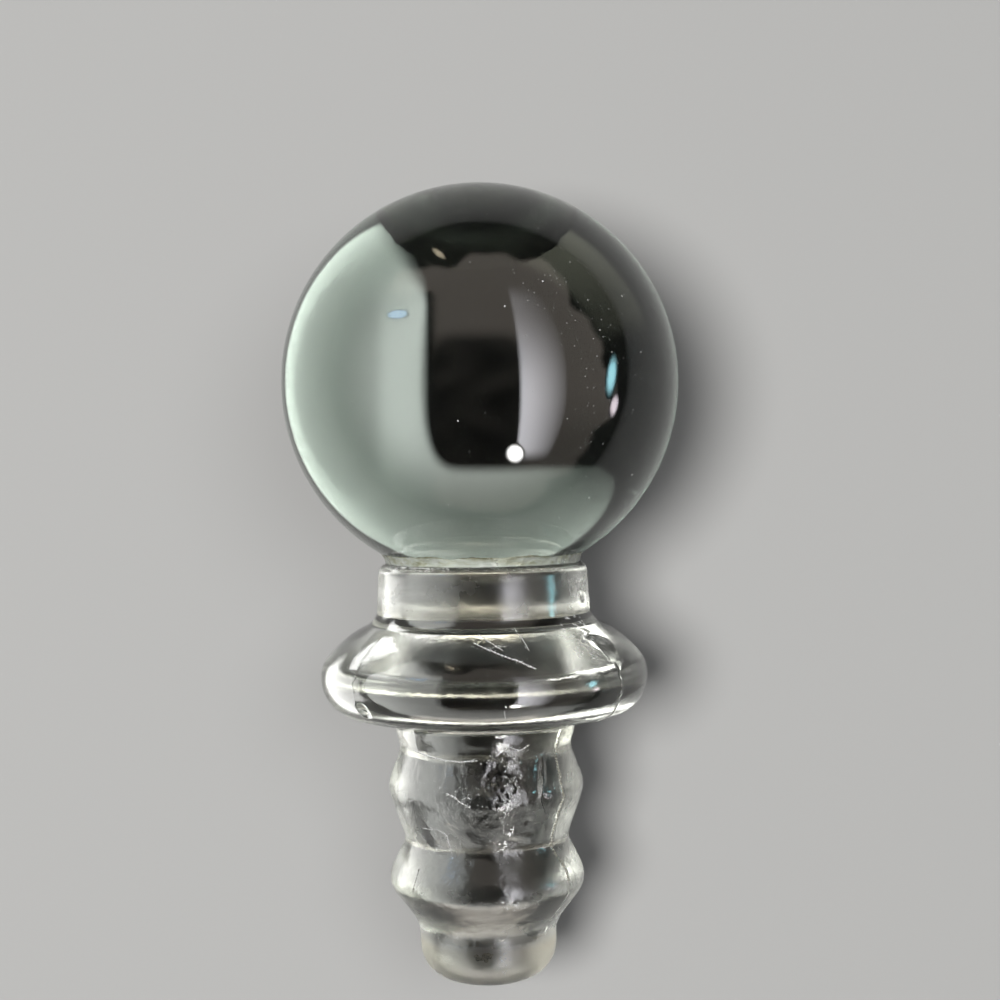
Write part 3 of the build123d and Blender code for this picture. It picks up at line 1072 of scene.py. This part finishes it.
def bounced(u, v):
    """Where on the dome the main camera sees, by way of the back of the ball, at (u, v)."""
    mid = CENTRE - EYE
    zc = mid / EYE_FAR
    xc = Rt - zc * (Rt @ zc)
    xc /= np.linalg.norm(xc)
    yc = np.cross(zc, xc)
    d = zc + (u * xc + v * yc) * BALL_R / math.sqrt(EYE_FAR**2 - BALL_R**2)
    d /= np.linalg.norm(d)
    b = d @ mid
    q = EYE + d * (b - math.sqrt(max(b * b - (mid @ mid - BALL_R**2), 0.0)))

    def bend(d, n, k):
        c = -(d @ n)
        return k * d + (k * c - math.sqrt(max(1 - k * k * (1 - c * c), 0.0))) * n

    n = (q - CENTRE) / BALL_R
    d = bend(d, n, 1 / 1.52)
    for turn in (0, 1):
        q = q - 2 * ((q - CENTRE) @ d) * d
        n = (q - CENTRE) / BALL_R
        d = d - 2 * (d @ n) * n if turn == 0 else bend(d, -n, 1.52)
    q = q - DOME_C
    k = -(q @ d) + math.sqrt((q @ d) ** 2 - q @ q + DOME_R**2)
    return q + DOME_C + k * d, d


def beyond(u, v):
    """As bounced, and on past the furthest direction that the back of the ball shows."""
    rho = math.hypot(u, v)
    if rho <= 0.74:
        return bounced(u, v)
    p0 = bounced(u * 0.70 / rho, v * 0.70 / rho)[0]
    p1, d1 = bounced(u * 0.74 / rho, v * 0.74 / rho)
    return p1 + (p1 - p0) / np.linalg.norm(p1 - p0) * (rho - 0.74) * 1500, d1


def soft_box(name, grid, colour, strength, view=mirrored, near=0.0, seen=("glossy", "transmission")):
    """grid is rows of (u, v, glow). The box is seen by way of the glass, and the floor is lit by the lamps."""
    verts, glow = [], []
    for row in grid:
        for u, v, g in row:
            p, r = view(u, v)
            verts.append(tuple((p - r * near) * MM))
            glow.append(g)
    n, m = len(grid), len(grid[0])
    faces = []
    for i in range(n - 1):
        for j in range(m - 1):
            f = [i * m + j, (i + 1) * m + j, (i + 1) * m + j + 1, i * m + j + 1]
            if max(glow[k] for k in f) > 0.002:
                faces.append(f)
    used = sorted({k for f in faces for k in f})
    renumber = {k: n for n, k in enumerate(used)}
    verts, glow = [verts[k] for k in used], [glow[k] for k in used]
    faces = [[renumber[k] for k in f] for f in faces]
    o = mesh_object(name, np.array(verts), faces, glow_material(name, colour, strength, near >= 80.0))
    a = o.data.attributes.new("glow", "FLOAT", "POINT")
    a.data.foreach_set("value", glow)
    o.visible_camera = o.visible_diffuse = o.visible_shadow = False
    o.visible_glossy = "glossy" in seen
    o.visible_transmission = "transmission" in seen
    return o


def only_for(box, *pieces):
    """The box is seen by these pieces alone, so that the ball and the base can be lit apart."""
    c = bpy.data.collections.new(box.name + "_lights")
    for p in pieces:
        c.objects.link(p)
    box.light_linking.receiver_collection = c


def s1(x, a, b):
    t = min(max((x - a) / (b - a), 0.0), 1.0)
    return t * t * (3 - 2 * t)


def horizon(a):
    """How far out, towards an angle, the ball still mirrors what is above the floor."""
    lo, hi = 0.3, 0.9
    for _ in range(18):
        mid = (lo + hi) / 2
        if mirrored(mid * math.cos(a), mid * math.sin(a))[0][2] > 14.0:
            lo = mid
        else:
            hi = mid
    return lo


def corner(a, left=0.25, foot=0.40):
    """Distance from the centre, towards an angle, to an L of one upright edge and one level edge."""
    x = left / -math.cos(a) if math.cos(a) < -0.05 else 9.0
    y = foot / math.sin(a) if math.sin(a) > 0.05 else 9.0
    inner = -math.log(math.exp(-9 * x) + math.exp(-9 * y)) / 9
    return inner if inner < 5 else 9.0


def window_grid(outer, bar=1.0, fade=0.0, pane=0.0, phi0=22.0, phi1=243.0):
    """An L-shaped window: left of one upright edge and below one level edge, with a dimmer pane at the left."""
    rows = []
    for i in range(81):
        phi = phi0 + (phi1 - phi0) * i / 80
        a = math.radians(phi)
        far = outer(a)
        inner = min(corner(a), far)
        ends = s1(phi, phi0, phi0 + 36) * (1 - s1(phi, phi1 - 9, phi1))
        level = 0.50 + 0.50 * s1(phi, 95, 155)
        row = []
        for j in range(25):
            rho = inner + (far - inner) * (j / 24) ** 1.3
            u, v = rho * math.cos(a), rho * math.sin(a)
            dim = s1(-u, 0.455 + 0.03 * v * v, 0.555) * s1(v, -0.60, -0.36) * (1 - s1(v, 0.42, 0.66)) * (1 - 0.6 * s1(rho, 0.66, 0.79))
            dim += 0.7 * math.exp(-((u + 0.467) ** 2 + (v - 0.60) ** 2) / 0.0022)
            row.append((u, v, ends * level * s1(rho - inner, 0.0, 0.075) * (bar + (1 - bar) * s1(rho, 0.40, 0.70)) * (1 - fade * s1(rho, 0.42, far)) * (1 - pane * dim)))
        rows.append(row)
    return rows


def strip_grid():
    """An upright strip, sharp on the left, and fading to the right and upwards."""
    rows = []
    for i in range(41):
        v = -0.50 + 0.90 * i / 40
        near = 0.150 + 0.045 * (1 - ((v - 0.05) / 0.45) ** 2)
        far = near + 0.05 + 0.20 * math.sqrt(max(1 - ((v + 0.02) / 0.50) ** 2, 0.0))
        tall = (0.18 + 0.82 * s1(v, -0.42, 0.10)) * s1(v, -0.50, -0.40) * (1 - s1(v, 0.33, 0.40))
        row = []
        for j in range(21):
            k = j / 20
            row.append((near + (far - near) * k, v, tall * s1(k, 0.0, 0.10) * (1 - k) ** 0.9))
        rows.append(row)
    return rows


def ceiling_grid():
    """A dim ceiling, with a dark rounded oblong in it and an uneven far edge."""
    rows = []
    for i in range(97):
        a = 2 * math.pi * i / 96
        far = min(horizon(a) - 0.005, 0.66 + 0.03 * math.sin(5 * a + 1) + 0.02 * math.sin(11 * a) + 0.012 * math.sin(23 * a + 2))
        row = []
        for j in range(45):
            rho = far * j / 44
            u, v = rho * math.cos(a), rho * math.sin(a)
            x, y = abs(u + 0.012) / 0.238, abs(v - 0.095) / 0.325
            hole = (x**5 + y**5) ** 0.2
            mottled = 0.09 + 0.04 * math.sin(19 * u + 3 * math.sin(14 * v)) + 0.03 * math.sin(31 * v + 2)
            g = max(s1(hole, 0.86, 1.20), mottled) * s1(far - rho, 0.0, 0.03)
            g *= s1(u, -0.26, -0.20) if v > -0.45 else 1.0
            g *= 1 - 0.45 * s1(v, 0.0, 0.35)
            row.append((u, v, g))
        rows.append(row)
    return rows


def ceiling_back_grid():
    """The ceiling's far part, which the ball's front can't mirror, and its back does."""
    rows = []
    for i in range(61):
        phi = -116.5 + 100.5 * i / 60
        a = math.radians(phi)
        near, far = 0.60, 0.785 + 0.012 * math.sin(9 * a) + 0.008 * math.sin(21 * a + 1)
        ends = s1(phi, -116.5, -108) * (1 - 0.6 * s1(phi, -60, -25)) * (1 - s1(phi, -26, -16))
        row = []
        for j in range(15):
            rho = near + (far - near) * j / 14
            row.append((rho * math.cos(a), rho * math.sin(a), ends * s1(rho, near, near + 0.08) * (1 - s1(rho, far - 0.03, far))))
        rows.append(row)
    return rows


def spot_grid(u0, v0, ru, rv, turn=0.0, edge=0.5):
    c, s = math.cos(math.radians(turn)), math.sin(math.radians(turn))
    rows = []
    for i in range(9):
        row = []
        for j in range(25):
            k, a = i / 8, 2 * math.pi * j / 24
            x, y = ru * k * math.cos(a), rv * k * math.sin(a)
            row.append((u0 + x * c - y * s, v0 + x * s + y * c, 1 - s1(k, edge, 1.0)))
        rows.append(row)
    return rows


only_for(soft_box("window", window_grid(horizon, 1.0, 0.92, 0.26), (0.955, 1.0, 0.96), 6.6), ball, bond)
only_for(soft_box("window_light", window_grid(lambda a: 0.79, pane=0.26), (0.965, 1.0, 0.95), 6.5, beyond, 60.0, ("transmission",)), ball, bond)
only_for(see_through(soft_box("ceiling_back", ceiling_back_grid(), (1.0, 0.90, 0.76), 1.25, beyond, 64.0, ("transmission",))), ball, bond)
only_for(see_through(soft_box("base_window", window_grid(horizon, 0.55), (0.98, 1.0, 0.955), 6.0, near=70.0)), base)
only_for(see_through(soft_box("ceiling", ceiling_grid(), (1.0, 0.89, 0.78), 1.2, near=20.0, seen=("glossy",))), ball, bond)
only_for(see_through(soft_box("base_ceiling", ceiling_grid(), (1.0, 0.89, 0.78), 0.7, near=74.0, seen=("glossy",))), base)
see_through(soft_box("strip", strip_grid(), (0.96, 0.95, 1.0), 13.0, near=40.0))


def card_grid(path, y0, y1, edge=5.0):
    """A card bent along a path of (x, z) in millimetres, from y0 to y1, with soft edges."""
    path = np.array(path, float)
    run = np.r_[0, np.cumsum(np.hypot(*np.diff(path, axis=0).T))]
    rows = []
    for k in np.linspace(0, run[-1], 21):
        row = []
        for y in np.linspace(y0, y1, 21):
            g = s1(min(k, run[-1] - k), 0, edge) * s1(min(y - y0, y1 - y), 0, edge)
            row.append((k, y, g))
        rows.append(row)
    return rows, lambda k, y: (np.array((np.interp(k, run, path[:, 0]), y, np.interp(k, run, path[:, 1]))), np.zeros(3))


def card(name, path, y0, y1, colour, strength, edge=5.0):
    """A low card beside the stopper, that only its base mirrors."""
    rows, view = card_grid(path, y0, y1, edge)
    only_for(not_straight(see_through(soft_box(name, rows, colour, strength, view))), base)


card("card_left", ((-27, 0.6), (-56, 0.8), (-62, 6.0), (-62, 22.0)), -38, 9, (1.0, 1.0, 0.965), 6.0)
card("card_far_left", ((-20, 0.6), (-58, 0.8)), 17, 62, (1.0, 1.0, 0.985), 8.0, 3.0)
only_for(
    see_through(soft_box(
        "card_front",
        [[(x, z, s1(min(x + 52, 40 - x), 0, 12) * s1(min(z - 6, 42 - z), 0, 6)) for x in np.linspace(-52, 40, 25)] for z in np.linspace(6, 42, 15)],
        (1.0, 0.92, 0.80),
        3.4,
        lambda x, z: (np.array((x, -78.0, z)), np.zeros(3)),
    )),
    base,
)
soft_box("bulb", spot_grid(0.177, 0.356, 0.052, 0.054, 0, 0.30), (1.0, 0.99, 0.96), 60.0, near=80.0)
soft_box("blue_pane", spot_grid(-0.413, -0.343, 0.060, 0.026, -6, 0.6), (0.50, 0.72, 1.0), 11.0, near=80.0, seen=("glossy",))
soft_box("side_lamp", spot_grid(0.662, -0.035, 0.030, 0.120, 7, 0.3), (0.42, 0.85, 0.95), 16.0, near=80.0, seen=("glossy",))
soft_box("side_lamp_2", spot_grid(0.676, 0.115, 0.024, 0.070, 12, 0.3), (1.0, 0.88, 0.95), 14.0, near=90.0, seen=("glossy",))
soft_box("warm_lamp", spot_grid(-0.205, -0.645, 0.050, 0.018, 38, 0.4), (1.0, 0.86, 0.62), 6.0, near=80.0, seen=("glossy",))


def overhead(name, at, size, watts, colour):
    """A large soft lamp that lights the floor, and isn't itself seen mirrored."""
    data = bpy.data.lights.new(name, "AREA")
    data.shape, data.size, data.energy, data.color = "DISK", size, watts, colour
    o = bpy.data.objects.new(name, data)
    scene.collection.objects.link(o)
    o.location = at
    o.rotation_euler = (Vector((0, 0, 0)) - Vector(at)).to_track_quat("-Z", "Y").to_euler()
    o.visible_camera = o.visible_glossy = o.visible_transmission = False
    return o


overhead("key", (-0.25, -0.04, 0.84), 0.34, 7.4, (1.0, 0.99, 0.975))
overhead("fill", (0.27, 0.08, 0.85), 0.50, 1.7, (0.98, 0.99, 1.0))

scene.view_settings.view_transform = "Standard"
scene.view_settings.look = "None"
scene.cycles.max_bounces = 12
scene.cycles.transmission_bounces = 12
scene.cycles.glossy_bounces = 6
scene.cycles.diffuse_bounces = 2
scene.cycles.transparent_max_bounces = 8
scene.cycles.sample_clamp_indirect = 6.0
scene.cycles.caustics_reflective = False
scene.cycles.caustics_refractive = False

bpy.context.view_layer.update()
import json
